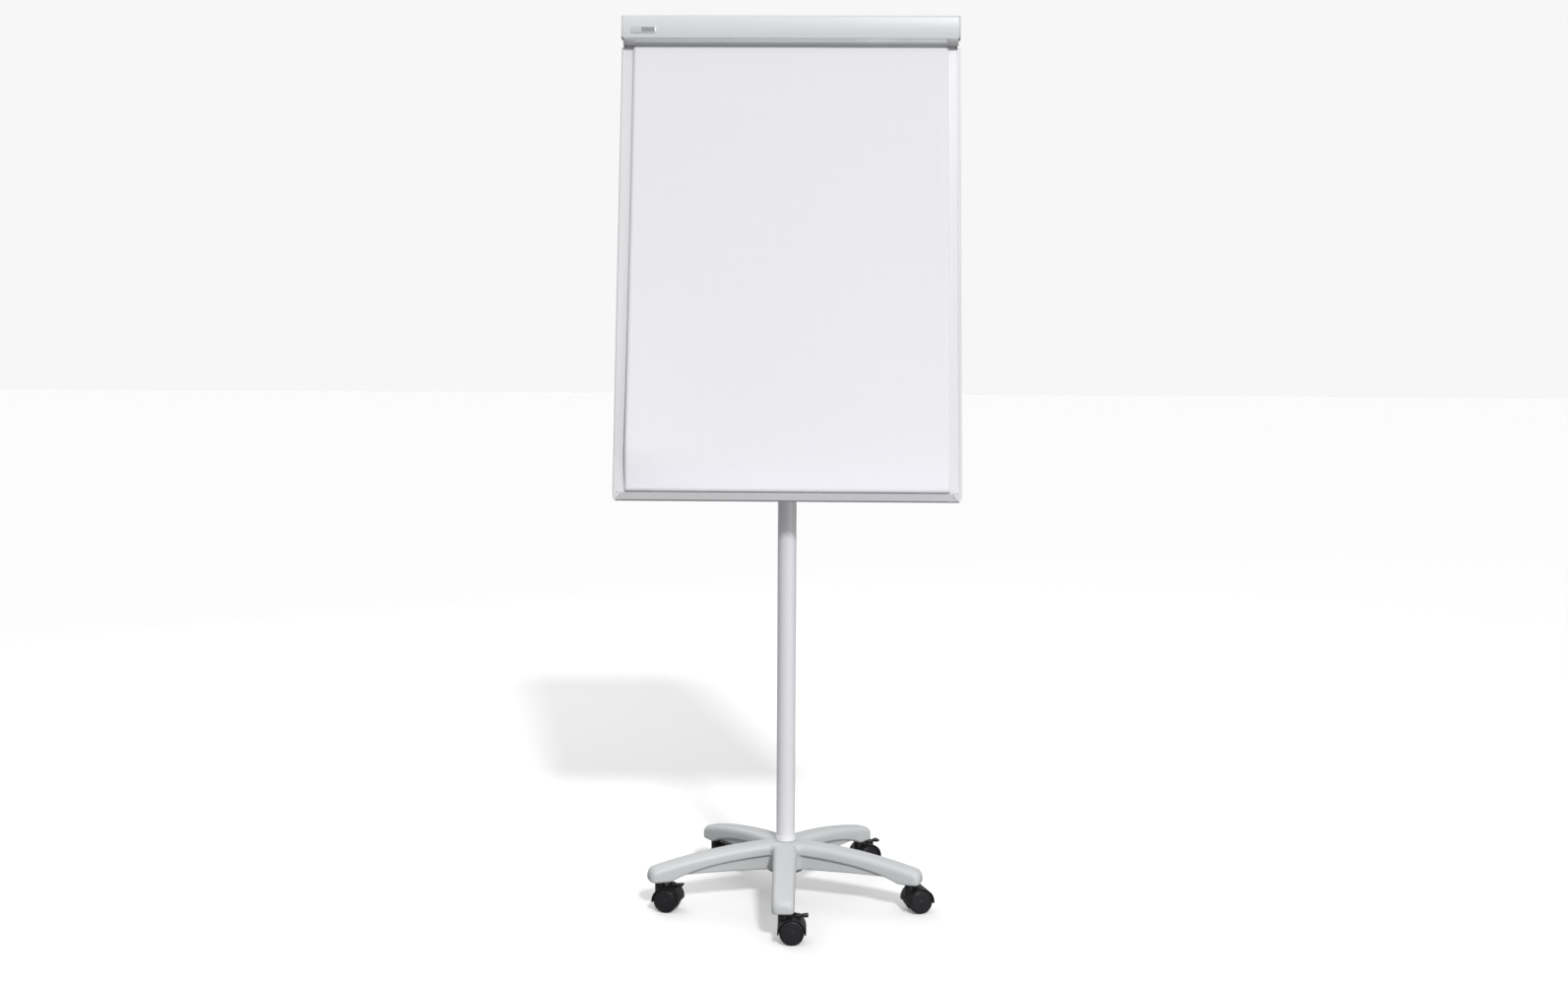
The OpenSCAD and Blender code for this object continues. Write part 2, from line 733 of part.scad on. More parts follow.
star_base();
base_plate();
column_bolt();
foot_collar();
column_tube();
foot_insert();
guide_bush();
clamp_collar();
clamp_knob();
mast_tube();
mast_glide();
mast_cap();
saddle_brackets();
saddle_screws();
board_core();
steel_face();
back_sheet();
left_rail();
right_rail();
top_rail();
pen_tray();
tray_cheeks();
hinge_brackets();
hinge_pins();
clamp_bar();
clamp_jaw();
clamp_ends();
left_hook();
right_hook();
pad_backing();
paper_block();
top_sheet();
for (i = [0:4]) {
    name = str("castor_", castor_names[i], "_");
    castor_stem(i);
    castor_hood(i);
    castor_axle(i);
    castor_wheel(i, -1);
    castor_wheel(i, 1);
    if (castor_braked[i]) castor_brake(i);
}
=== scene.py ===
import json
import math

import bmesh
import bpy
from mathutils import Matrix, Vector, noise


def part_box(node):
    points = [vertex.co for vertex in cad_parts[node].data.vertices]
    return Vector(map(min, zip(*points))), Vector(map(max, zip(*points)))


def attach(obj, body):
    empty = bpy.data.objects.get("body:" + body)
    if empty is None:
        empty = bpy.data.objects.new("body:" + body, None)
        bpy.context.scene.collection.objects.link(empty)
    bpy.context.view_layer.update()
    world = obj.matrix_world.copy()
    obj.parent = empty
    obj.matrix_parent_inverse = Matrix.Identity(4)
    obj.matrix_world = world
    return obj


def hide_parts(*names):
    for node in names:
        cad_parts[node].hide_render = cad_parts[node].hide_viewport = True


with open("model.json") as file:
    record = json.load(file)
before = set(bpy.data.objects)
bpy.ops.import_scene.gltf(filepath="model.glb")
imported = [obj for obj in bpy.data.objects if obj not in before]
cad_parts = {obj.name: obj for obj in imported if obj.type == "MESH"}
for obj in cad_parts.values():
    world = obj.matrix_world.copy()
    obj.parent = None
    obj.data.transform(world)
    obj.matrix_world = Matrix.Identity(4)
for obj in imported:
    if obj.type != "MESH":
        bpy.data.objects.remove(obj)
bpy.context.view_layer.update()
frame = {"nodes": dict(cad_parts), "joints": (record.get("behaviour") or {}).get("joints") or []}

joints = {joint["name"]: joint for joint in frame["joints"]}
mm = 0.001


# camera and light

view = {
    "place": (0.0525, -3.5056, 1.1699),
    "pitch": 5.306,      # degrees below level
    "heading": 0.97,     # degrees to the left
    "roll": 0.296,
    "lens": 39.657,
}


def makeCamera():
    data = bpy.data.cameras.new("easelCamera")
    data.lens = view["lens"]
    data.sensor_width = 36
    data.sensor_fit = "HORIZONTAL"
    data.clip_end = 60
    camera = bpy.data.objects.new("easelCamera", data)
    bpy.context.scene.collection.objects.link(camera)
    camera.matrix_world = (
        Matrix.Translation(view["place"])
        @ Matrix.Rotation(math.radians(view["heading"]), 4, "Z")
        @ Matrix.Rotation(math.radians(90 - view["pitch"]), 4, "X")
        @ Matrix.Rotation(math.radians(view["roll"]), 4, "Z")
    )
    bpy.context.scene.camera = camera


studio = {
    "horizon": 0.28,
    "zenith": 0.68,
    "backdrop": 0.93,
    "floorLift": 0.13,
    "floorTone": (0.97, 0.26),     # as seen, and as it throws light back
    "key": {"turn": 17, "height": 38, "spread": 7, "power": 1.85},
    "fill": {"place": (1.5, -1.7, 0.55), "aim": (0.1, 0, 0.95), "size": 1.1, "power": 7},
    "rear": {"place": (-1.6, 2.4, 2.4), "aim": (0, 0, 0.9), "size": 2.0, "power": 22},
}


def aimedPlace(place, aim):
    turn = (Vector(aim) - Vector(place)).to_track_quat("-Z", "Y")
    return Matrix.Translation(place) @ turn.to_matrix().to_4x4()


def makeKey():
    look = studio["key"]
    data = bpy.data.lights.new("keyLight", "SUN")
    data.angle = math.radians(look["spread"])
    data.energy = look["power"]
    light = bpy.data.objects.new("keyLight", data)
    bpy.context.scene.collection.objects.link(light)
    turn, height = math.radians(look["turn"]), math.radians(look["height"])
    place = Vector((math.sin(turn) * math.cos(height), -math.cos(turn) * math.cos(height), math.sin(height))) * 5
    light.matrix_world = aimedPlace(place, (0, 0, 0))


def makeSoftbox(name):
    look = studio[name]
    data = bpy.data.lights.new(name + "Light", "AREA")
    data.size = look["size"]
    data.energy = look["power"]
    light = bpy.data.objects.new(name + "Light", data)
    bpy.context.scene.collection.objects.link(light)
    light.matrix_world = aimedPlace(look["place"], look["aim"])


def makeSky():
    # a pale surround, brighter overhead, with an even backdrop
    world = bpy.data.worlds.new("studioWorld")
    bpy.context.scene.world = world
    world.use_nodes = True
    tree = world.node_tree
    coords = tree.nodes.new("ShaderNodeTexCoord")
    split = tree.nodes.new("ShaderNodeSeparateXYZ")
    tree.links.new(coords.outputs["Generated"], split.inputs["Vector"])
    rise = tree.nodes.new("ShaderNodeMapRange")
    rise.inputs["To Min"].default_value = studio["horizon"]
    rise.inputs["To Max"].default_value = studio["zenith"]
    tree.links.new(split.outputs["Z"], rise.inputs["Value"])
    path = tree.nodes.new("ShaderNodeLightPath")
    seen = tree.nodes.new("ShaderNodeMix")
    seen.inputs["B"].default_value = studio["backdrop"]
    tree.links.new(path.outputs["Is Camera Ray"], seen.inputs["Factor"])
    tree.links.new(rise.outputs["Result"], seen.inputs["A"])
    sky = tree.nodes["Background"]
    sky.inputs["Color"].default_value = (1, 1, 1, 1)
    tree.links.new(seen.outputs["Result"], sky.inputs["Strength"])


def makeStudio():
    makeSky()
    makeKey()
    makeSoftbox("fill")
    makeSoftbox("rear")
    bpy.context.scene.view_settings.view_transform = "Standard"


# shader groups


def shade(red, green, blue):
    # srgb
    return [(c / 255 / 12.92 if c <= 10 else ((c / 255 + 0.055) / 1.055) ** 2.4) for c in (red, green, blue)] + [1]


def newGroup(name, inputs, outputs):
    group = bpy.data.node_groups.new(name, "ShaderNodeTree")
    for label, kind, value in inputs:
        socket = group.interface.new_socket(label, in_out="INPUT", socket_type=kind)
        if value is not None:
            socket.default_value = value
    for label, kind in outputs:
        group.interface.new_socket(label, in_out="OUTPUT", socket_type=kind)
    return group, group.nodes.new("NodeGroupInput"), group.nodes.new("NodeGroupOutput")


def addMath(tree, operation, first, second=None):
    node = tree.nodes.new("ShaderNodeMath")
    node.operation = operation
    for index, value in enumerate((first, second)):
        if value is None:
            continue
        if isinstance(value, (int, float)):
            node.inputs[index].default_value = value
        else:
            tree.links.new(value, node.inputs[index])
    return node.outputs[0]


def makeGrainGroup():
    # fine moulded or sprayed grain
    group, start, end = newGroup(
        "surfaceGrain",
        [("Vector", "NodeSocketVector", None), ("Scale", "NodeSocketFloat", 900.0), ("Lump", "NodeSocketFloat", 90.0)],
        [("Mask", "NodeSocketFloat"), ("Height", "NodeSocketFloat")],
    )
    fine = group.nodes.new("ShaderNodeTexNoise")
    fine.inputs["Detail"].default_value = 3
    lump = group.nodes.new("ShaderNodeTexNoise")
    lump.inputs["Detail"].default_value = 2
    for node, label in ((fine, "Scale"), (lump, "Lump")):
        group.links.new(start.outputs["Vector"], node.inputs["Vector"])
        group.links.new(start.outputs[label], node.inputs["Scale"])
    height = addMath(group, "ADD", fine.outputs["Fac"], addMath(group, "MULTIPLY", lump.outputs["Fac"], 1.6))
    group.links.new(height, end.inputs["Height"])
    group.links.new(lump.outputs["Fac"], end.inputs["Mask"])
    return group


def makeHandlingGroup():
    # broad soft marks left by hands and cleaning
    group, start, end = newGroup(
        "handlingMarks",
        [("Vector", "NodeSocketVector", None), ("Scale", "NodeSocketFloat", 6.0), ("Amount", "NodeSocketFloat", 0.5)],
        [("Mask", "NodeSocketFloat")],
    )
    cloud = group.nodes.new("ShaderNodeTexNoise")
    cloud.inputs["Detail"].default_value = 5
    cloud.inputs["Roughness"].default_value = 0.62
    cloud.inputs["Distortion"].default_value = 0.6
    group.links.new(start.outputs["Vector"], cloud.inputs["Vector"])
    group.links.new(start.outputs["Scale"], cloud.inputs["Scale"])
    spread = group.nodes.new("ShaderNodeMapRange")
    spread.inputs["From Min"].default_value = 0.36
    spread.inputs["From Max"].default_value = 0.68
    group.links.new(cloud.outputs["Fac"], spread.inputs["Value"])
    group.links.new(addMath(group, "MULTIPLY", spread.outputs["Result"], start.outputs["Amount"]), end.inputs["Mask"])
    return group


def makeRulingGroup():
    # thin ruled lines from a pair of running lengths
    group, start, end = newGroup(
        "squareRuling",
        [("Vector", "NodeSocketVector", None), ("Pitch", "NodeSocketFloat", 0.025), ("Line", "NodeSocketFloat", 0.02)],
        [("Mask", "NodeSocketFloat")],
    )
    split = group.nodes.new("ShaderNodeSeparateXYZ")
    group.links.new(start.outputs["Vector"], split.inputs["Vector"])
    lines = []
    for axis in ("X", "Y"):
        cells = addMath(group, "DIVIDE", split.outputs[axis], start.outputs["Pitch"])
        away = addMath(group, "ABSOLUTE", addMath(group, "SUBTRACT", addMath(group, "FRACT", cells), 0.5))
        lines.append(addMath(group, "GREATER_THAN", away, addMath(group, "SUBTRACT", 0.5, start.outputs["Line"])))
    group.links.new(addMath(group, "MAXIMUM", *lines), end.inputs["Mask"])
    return group


groups = {
    "grain": makeGrainGroup(),
    "handling": makeHandlingGroup(),
    "ruling": makeRulingGroup(),
}
print("shader groups ready")


# materials

finishes = {
    "basePlastic": {"tone": (206, 208, 209), "worn": (199, 202, 204), "rough": 0.46, "swing": 0.12, "scale": 1500, "lump": 60, "bump": 0.10, "depth": 0.00012},
    "tubePaint": {"tone": (232, 232, 236), "worn": (224, 224, 229), "rough": 0.34, "swing": 0.10, "scale": 1100, "lump": 240, "bump": 0.10, "depth": 0.00008, "coat": 0.25},
    "railPaint": {"tone": (226, 226, 229), "worn": (217, 217, 220), "rough": 0.32, "swing": 0.10, "scale": 1100, "lump": 260, "bump": 0.07, "depth": 0.00006, "coat": 0.3},
    # the tray's tone is set below the rails' paint: painted shade standing in for the shade on its lip that faces down
    "trayPaintPaintedShade": {"tone": (206, 206, 209), "worn": (197, 197, 201), "rough": 0.36, "swing": 0.12, "scale": 1100, "lump": 260, "bump": 0.08, "depth": 0.00006, "coat": 0.2},
    "cheekPlastic": {"tone": (232, 232, 234), "worn": (222, 222, 225), "rough": 0.42, "swing": 0.08, "scale": 1600, "lump": 80, "bump": 0.06, "depth": 0.0001},
    "barPaint": {"tone": (222, 225, 226), "worn": (214, 218, 220), "rough": 0.30, "swing": 0.10, "scale": 1000, "lump": 220, "bump": 0.08, "depth": 0.00006, "coat": 0.35},
    "barEndPlastic": {"tone": (212, 214, 216), "worn": (203, 206, 208), "rough": 0.44, "swing": 0.10, "scale": 1500, "lump": 70, "bump": 0.08, "depth": 0.0001},
    # the jaw's tone is set darker than the bar's paint: painted shade standing in for the shade on a lip that faces
    # down
    "jawPlastic": {"tone": (182, 184, 186), "worn": (173, 175, 178), "rough": 0.52, "swing": 0.12, "scale": 1700, "lump": 90, "bump": 0.12, "depth": 0.0001},
    "writingFace": {"tone": (232, 232, 234), "worn": (226, 226, 229), "rough": 0.22, "swing": 0.08, "scale": 500, "lump": 120, "bump": 0.04, "depth": 0.00005, "coat": 0.5},
    "backPaint": {"tone": (202, 204, 206), "worn": (190, 193, 196), "rough": 0.48, "swing": 0.14, "scale": 900, "lump": 150, "bump": 0.12, "depth": 0.0001},
    "coreBoard": {"tone": (176, 150, 112), "worn": (140, 114, 80), "rough": 0.85, "swing": 0.1, "scale": 420, "lump": 180, "bump": 0.5, "depth": 0.0004},
    "padCard": {"tone": (164, 148, 120), "worn": (146, 130, 104), "rough": 0.86, "swing": 0.08, "scale": 700, "lump": 240, "bump": 0.3, "depth": 0.0002},
    "blackPlastic": {"tone": (28, 28, 30), "worn": (38, 38, 41), "rough": 0.44, "swing": 0.16, "scale": 1500, "lump": 120, "bump": 0.16, "depth": 0.00012},
    "castorPlastic": {"tone": (15, 15, 17), "worn": (26, 26, 29), "rough": 0.32, "swing": 0.16, "scale": 1600, "lump": 140, "bump": 0.10, "depth": 0.0001},
    "wheelPlastic": {"tone": (25, 24, 29), "worn": (34, 33, 38), "rough": 0.34, "swing": 0.14, "scale": 1900, "lump": 160, "bump": 0.14, "depth": 0.0001},
    # the jaw ends' tone is darker still: painted shade standing in for the lip's shadow where it overhangs the board's
    # margins
    "jawEnd": {"tone": (168, 168, 170), "worn": (158, 158, 161), "rough": 0.5, "swing": 0.12, "scale": 1700, "lump": 90, "bump": 0.12, "depth": 0.0001},
    "badgePlate": {"tone": (204, 206, 209), "worn": (195, 198, 202), "rough": 0.28, "swing": 0.08, "scale": 900, "lump": 120, "bump": 0.05, "depth": 0.00005, "coat": 0.4},
    "badgeInset": {"tone": (146, 148, 154), "worn": (136, 138, 145), "rough": 0.36, "swing": 0.08, "scale": 900, "lump": 120, "bump": 0.05, "depth": 0.00005},
}


def placeGroup(tree, name, vector, values):
    node = tree.nodes.new("ShaderNodeGroup")
    node.node_tree = groups[name]
    tree.links.new(vector, node.inputs["Vector"])
    for label, value in values.items():
        node.inputs[label].default_value = value
    return node


def mixTones(tree, mask, tone, worn):
    mix = tree.nodes.new("ShaderNodeMix")
    mix.data_type = "RGBA"
    mix.inputs["A"].default_value = tone
    mix.inputs["B"].default_value = worn
    tree.links.new(mask, mix.inputs["Factor"])
    return mix


def startMaterial(name):
    material = bpy.data.materials.new(name)
    material.use_nodes = True
    tree = material.node_tree
    return material, tree, tree.nodes["Principled BSDF"], tree.nodes.new("ShaderNodeTexCoord")


def addBump(tree, shader, height, strength, depth):
    bump = tree.nodes.new("ShaderNodeBump")
    bump.inputs["Strength"].default_value = strength
    bump.inputs["Distance"].default_value = depth
    tree.links.new(height, bump.inputs["Height"])
    tree.links.new(bump.outputs["Normal"], shader.inputs["Normal"])


def makeFinish(name):
    look = finishes[name]
    material, tree, shader, coords = startMaterial(name)
    place = coords.outputs["Object"]
    grain = placeGroup(tree, "grain", place, {"Scale": look["scale"], "Lump": look["lump"]})
    marks = placeGroup(tree, "handling", place, {"Scale": 7.0, "Amount": 0.8})
    both = addMath(tree, "ADD", addMath(tree, "MULTIPLY", marks.outputs["Mask"], 0.6), addMath(tree, "MULTIPLY", grain.outputs["Mask"], 0.5))
    tone = mixTones(tree, both, shade(*look["tone"]), shade(*look["worn"]))
    tree.links.new(tone.outputs["Result"], shader.inputs["Base Color"])
    spread = tree.nodes.new("ShaderNodeMapRange")
    spread.inputs["To Min"].default_value = look["rough"] - look["swing"] / 2
    spread.inputs["To Max"].default_value = look["rough"] + look["swing"]
    tree.links.new(both, spread.inputs["Value"])
    tree.links.new(spread.outputs["Result"], shader.inputs["Roughness"])
    shader.inputs["Coat Weight"].default_value = look.get("coat", 0)
    shader.inputs["Coat Roughness"].default_value = 0.18
    addBump(tree, shader, grain.outputs["Height"], look["bump"], look["depth"])
    return material


def makeZinc():
    # bright zinc plating with a faint passivated bloom
    material, tree, shader, coords = startMaterial("zincSteel")
    place = coords.outputs["Object"]
    grain = placeGroup(tree, "grain", place, {"Scale": 1300.0, "Lump": 320.0})
    marks = placeGroup(tree, "handling", place, {"Scale": 60.0, "Amount": 1.0})
    tone = mixTones(tree, marks.outputs["Mask"], shade(196, 198, 202), shade(178, 178, 172))
    tree.links.new(tone.outputs["Result"], shader.inputs["Base Color"])
    spread = tree.nodes.new("ShaderNodeMapRange")
    spread.inputs["To Min"].default_value = 0.24
    spread.inputs["To Max"].default_value = 0.46
    tree.links.new(marks.outputs["Mask"], spread.inputs["Value"])
    tree.links.new(spread.outputs["Result"], shader.inputs["Roughness"])
    shader.inputs["Metallic"].default_value = 1
    addBump(tree, shader, grain.outputs["Height"], 0.12, 0.00006)
    return material


def makeSheetPaper():
    # white uncoated paper with a barely printed square ruling, read from the sheet's own lengths
    material, tree, shader, coords = startMaterial("sheetPaper")
    run = tree.nodes.new("ShaderNodeMapping")
    run.inputs["Scale"].default_value = (paper["width"], paper["length"], 1)
    tree.links.new(coords.outputs["UV"], run.inputs["Vector"])
    ruling = placeGroup(tree, "ruling", run.outputs["Vector"], {"Pitch": 0.025, "Line": 0.014})
    grain = placeGroup(tree, "grain", coords.outputs["Object"], {"Scale": 1400.0, "Lump": 420.0})
    fibres = mixTones(tree, grain.outputs["Mask"], shade(238, 238, 242), shade(232, 232, 238))
    lined = tree.nodes.new("ShaderNodeMix")
    lined.data_type = "RGBA"
    lined.inputs["B"].default_value = shade(224, 226, 234)
    tree.links.new(fibres.outputs["Result"], lined.inputs["A"])
    tree.links.new(addMath(tree, "MULTIPLY", ruling.outputs["Mask"], 0.3), lined.inputs["Factor"])
    tree.links.new(lined.outputs["Result"], shader.inputs["Base Color"])
    shader.inputs["Roughness"].default_value = 0.78
    shader.inputs["Specular IOR Level"].default_value = 0.3
    addBump(tree, shader, grain.outputs["Height"], 0.18, 0.00008)
    return material


def makePaperEdges():
    # the cut edges of many sheets: thin lines across the block's thickness
    material, tree, shader, coords = startMaterial("paperEdges")
    turn = tree.nodes.new("ShaderNodeMapping")
    turn.inputs["Rotation"].default_value = (math.radians(boardPlace["tilt"]), 0, 0)
    tree.links.new(coords.outputs["Object"], turn.inputs["Vector"])
    leaves = tree.nodes.new("ShaderNodeTexWave")
    leaves.bands_direction = "Y"
    leaves.inputs["Scale"].default_value = 900
    leaves.inputs["Distortion"].default_value = 1.5
    leaves.inputs["Detail"].default_value = 2
    tree.links.new(turn.outputs["Vector"], leaves.inputs["Vector"])
    tone = mixTones(tree, leaves.outputs["Fac"], shade(240, 240, 244), shade(206, 206, 212))
    tree.links.new(tone.outputs["Result"], shader.inputs["Base Color"])
    shader.inputs["Roughness"].default_value = 0.8
    addBump(tree, shader, leaves.outputs["Fac"], 0.4, 0.0002)
    return material


def makeFloorFinish():
    # seamless paper, kept from throwing its full brightness back at the piece
    material, tree, shader, coords = startMaterial("studioFloor")
    cloud = placeGroup(tree, "handling", coords.outputs["Object"], {"Scale": 1.2, "Amount": 0.4})
    seen, thrown = studio["floorTone"]
    bright = mixTones(tree, cloud.outputs["Mask"], (seen, seen, seen, 1), (seen - 0.01, seen - 0.01, seen - 0.01, 1))
    path = tree.nodes.new("ShaderNodeLightPath")
    tone = mixTones(tree, path.outputs["Is Camera Ray"], (thrown, thrown, thrown, 1), (1, 1, 1, 1))
    tree.links.new(bright.outputs["Result"], tone.inputs["B"])
    tree.links.new(tone.outputs["Result"], shader.inputs["Base Color"])
    tree.links.new(addMath(tree, "MULTIPLY", path.outputs["Is Camera Ray"], studio["floorLift"]), shader.inputs["Emission Strength"])
    shader.inputs["Emission Color"].default_value = (1, 1, 1, 1)
    shader.inputs["Roughness"].default_value = 0.7
    shader.inputs["Specular IOR Level"].default_value = 0.2
    return material


# the board's own frame

boardPlace = {"tilt": 12.5, "lip": 1.5 * mm, "faceThick": 0.8 * mm, "panelFoot": 2 * mm, "length": 1.009, "halfWidth": 0.35, "depth": 16 * mm}


def findBoard():
    low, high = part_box("steel_face")
    lean = math.radians(boardPlace["tilt"])
    foot = boardPlace["panelFoot"]
    back = boardPlace["lip"] + boardPlace["faceThick"]
    y = low.y - boardPlace["lip"] * math.cos(lean) - foot * math.sin(lean)
    z = low.z + back * math.sin(lean) - foot * math.cos(lean)
    return Matrix.Translation((0, y, z)) @ Matrix.Rotation(-lean, 4, "X")


board = findBoard()
paper = {
    "width": 0.65, "length": 0.98, "back": -3.0 * mm, "foot": 0.018, "columns": 90, "rows": 130,
    "lift": 15 * mm,        # how far the loose left edge stands off
    "liftAt": 0.085,        # where along the sheet it stands off most, from its foot
    "reach": 0.11,          # how far in from the edge the lift runs
}
makeCamera()
makeStudio()
finish = {name: makeFinish(name) for name in finishes}
finish["zincSteel"] = makeZinc()
finish["sheetPaper"] = makeSheetPaper()
finish["paperEdges"] = makePaperEdges()
finish["studioFloor"] = makeFloorFinish()
print("materials ready:", len(finish))


# mesh helpers


def finishPiece(bm, name, material, body, place=None, replaces=(), sharp=34):
    # closes the mesh, puts it in the row's frame and lets it ride on its body
    if place is not None:
        bmesh.ops.transform(bm, matrix=place, verts=bm.verts)
    bmesh.ops.remove_doubles(bm, verts=bm.verts, dist=1e-6)
    bmesh.ops.recalc_face_normals(bm, faces=bm.faces)
    mesh = bpy.data.meshes.new(name)
    bm.to_mesh(mesh)
    bm.free()
    for polygon in mesh.polygons:
        polygon.use_smooth = True
    mesh.set_sharp_from_angle(angle=math.radians(sharp))
    piece = bpy.data.objects.new(name, mesh)
    bpy.context.scene.collection.objects.link(piece)
    for one in material if isinstance(material, (list, tuple)) else [material]:
        mesh.materials.append(finish[one])
    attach(piece, body)
    if replaces:
        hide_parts(*replaces)
    return piece


def addBlock(bm, low, high):
    low, high = Vector(low), Vector(high)
    size = high - low
    place = Matrix.Translation((low + high) / 2) @ Matrix.Diagonal((*size, 1))
    return bmesh.ops.create_cube(bm, size=1, matrix=place)["verts"]


def addPrism(bm, outline, low, high):
    # a closed outline in (y, z), drawn out along X
    face = bm.faces.new([bm.verts.new((low, y, z)) for y, z in outline])
    made = bmesh.ops.extrude_face_region(bm, geom=[face])["geom"]
    moved = [part for part in made if isinstance(part, bmesh.types.BMVert)]
    bmesh.ops.translate(bm, verts=moved, vec=(high - low, 0, 0))
    return moved


def addTurned(bm, outline, steps=56):
    # an outline in (radius, height), spun about Z
    verts = [bm.verts.new((radius, 0, height)) for radius, height in outline]
    edges = [bm.edges.new(pair) for pair in zip(verts, verts[1:])]
    made = bmesh.ops.spin(
        bm, geom=verts + edges, cent=(0, 0, 0), axis=(0, 0, 1), angle=2 * math.pi, steps=steps, use_merge=True
    )
    bmesh.ops.remove_doubles(bm, verts=bm.verts, dist=1e-6)
    return made


def roundEdges(bm, width, segments=3, angle=30, pick=None):
    edges = [
        edge for edge in bm.edges
        if len(edge.link_faces) == 2 and edge.calc_face_angle(0) > math.radians(angle) and (pick is None or pick(edge))
    ]
    bmesh.ops.bevel(
        bm, geom=edges, offset=width, offset_type="OFFSET", segments=segments,
        profile=0.5, affect="EDGES", material=-1, clamp_overlap=True,
    )


def arcPoints(centre, radius, first, last, count):
    turns = [math.radians(first + (last - first) * step / count) for step in range(count + 1)]
    return [(centre[0] + radius * math.cos(turn), centre[1] + radius * math.sin(turn)) for turn in turns]


def dressNode(name, material, edge=0.4 * mm, segments=2):
    # a carried-over CAD node gets its finish and softly broken edges
    node = frame["nodes"][name]
    for holder in node.material_slots:
        holder.material = finish[material]
    if edge:
        weld = node.modifiers.new("weld", "WELD")
        weld.merge_threshold = 1e-5
        bevel = node.modifiers.new("bevel", "BEVEL")
        bevel.width = edge
        bevel.segments = segments
        bevel.limit_method = "ANGLE"
        bevel.angle_limit = math.radians(38)
        bevel.harden_normals = True


# star base

baseShape = {
    "rootWidth": 0.050, "tipWidth": 0.0435, "stemInset": 0.024, "shellDepth": 0.024,
    "crownRadius": 1.12, "crownDrop": 0.8 * mm, "noseRound": 12 * mm, "edgeRound": 12 * mm, "footRound": 2.5 * mm,
    "keelWidth": 0.035, "keelBottom": 0.0655, "bossRadius": 13 * mm, "stations": 26, "voxel": 2.0 * mm, "soften": 5,
}


def crownHeight(distance, top):
    return top - baseShape["crownDrop"] - distance ** 2 / (2 * baseShape["crownRadius"])


def armSection(half, low, high):
    # one cross-section in (y, z), with broad upper corners
    edge = min(baseShape["edgeRound"], half * 0.9, (high - low) * 0.6)
    foot = baseShape["footRound"]
    points = arcPoints((half - edge, high - edge), edge, 0, 90, 7) + arcPoints((edge - half, high - edge), edge, 90, 180, 7)
    points += arcPoints((foot - half, low + foot), foot, 180, 270, 3) + arcPoints((half - foot, low + foot), foot, 270, 360, 3)
    return points


def armRings(stemRadius, bottom, top):
    # stations along an arm, drawn in round its nose
    reach = stemRadius + baseShape["stemInset"]
    foot, nose = stemRadius - 0.019, baseShape["noseRound"]
    start = 0.004
    stops = [(start + (reach - nose - start) * step / baseShape["stations"], 0) for step in range(baseShape["stations"] + 1)]
    for turn in (15, 30, 45, 60, 75, 90):
        stops.append((reach - nose + nose * math.sin(math.radians(turn)), nose * (1 - math.cos(math.radians(turn)))))
    rings = []
    for distance, drawn in stops:
        width = baseShape["rootWidth"] + (baseShape["tipWidth"] - baseShape["rootWidth"]) * distance / reach
        crown = crownHeight(distance, top)
        under = crown - baseShape["shellDepth"]
        drop = crownHeight(foot, top) - baseShape["shellDepth"] - bottom
        under = under - drop * (distance / foot) ** 6 if distance < foot else bottom
        rings.append([(distance, y, z) for y, z in armSection(width / 2 - drawn, under + drawn * 0.25, crown - drawn * 0.9)])
    return rings


def addLoft(bm, rings):
    # each ring is closed with edges, and neighbouring rings are bridged
    loops = []
    for ring in rings:
        verts = [bm.verts.new(point) for point in ring]
        loops.append([bm.edges.new(pair) for pair in zip(verts, verts[1:] + verts[:1])])
    for first, second in zip(loops, loops[1:]):
        bmesh.ops.bridge_loops(bm, edges=first + second)
    bmesh.ops.holes_fill(bm, edges=loops[0] + loops[-1])


def addArm(bm, stemRadius, bottom, top):
    arm = bmesh.new()
    addLoft(arm, armRings(stemRadius, bottom, top))
    keelReach = stemRadius - 0.026
    half = baseShape["keelWidth"] / 2
    steps = 10
    lower = [(keelReach * step / steps, baseShape["keelBottom"] + 6.5 * mm * (1 - (1 - step / steps) ** 2)) for step in range(steps, -1, -1)]
    outline = [(0, top - 0.012), (keelReach, crownHeight(keelReach, top) - baseShape["shellDepth"] + 0.003)] + lower
    keel = bmesh.new()
    addPrism(keel, outline, -half, half)
    bmesh.ops.transform(keel, matrix=Matrix.Rotation(math.radians(-90), 4, "Z"), verts=keel.verts)
    boss = Matrix.Translation((stemRadius, 0, bottom))
    bmesh.ops.create_cone(
        arm, cap_ends=True, segments=40, radius1=baseShape["bossRadius"], radius2=baseShape["bossRadius"], depth=7 * mm, matrix=boss
    )
    for part in (arm, keel):
        bmesh.ops.recalc_face_normals(part, faces=part.faces)
        mesh = bpy.data.meshes.new("part")
        part.to_mesh(mesh)
        part.free()
        bm.from_mesh(mesh)
        bpy.data.meshes.remove(mesh)


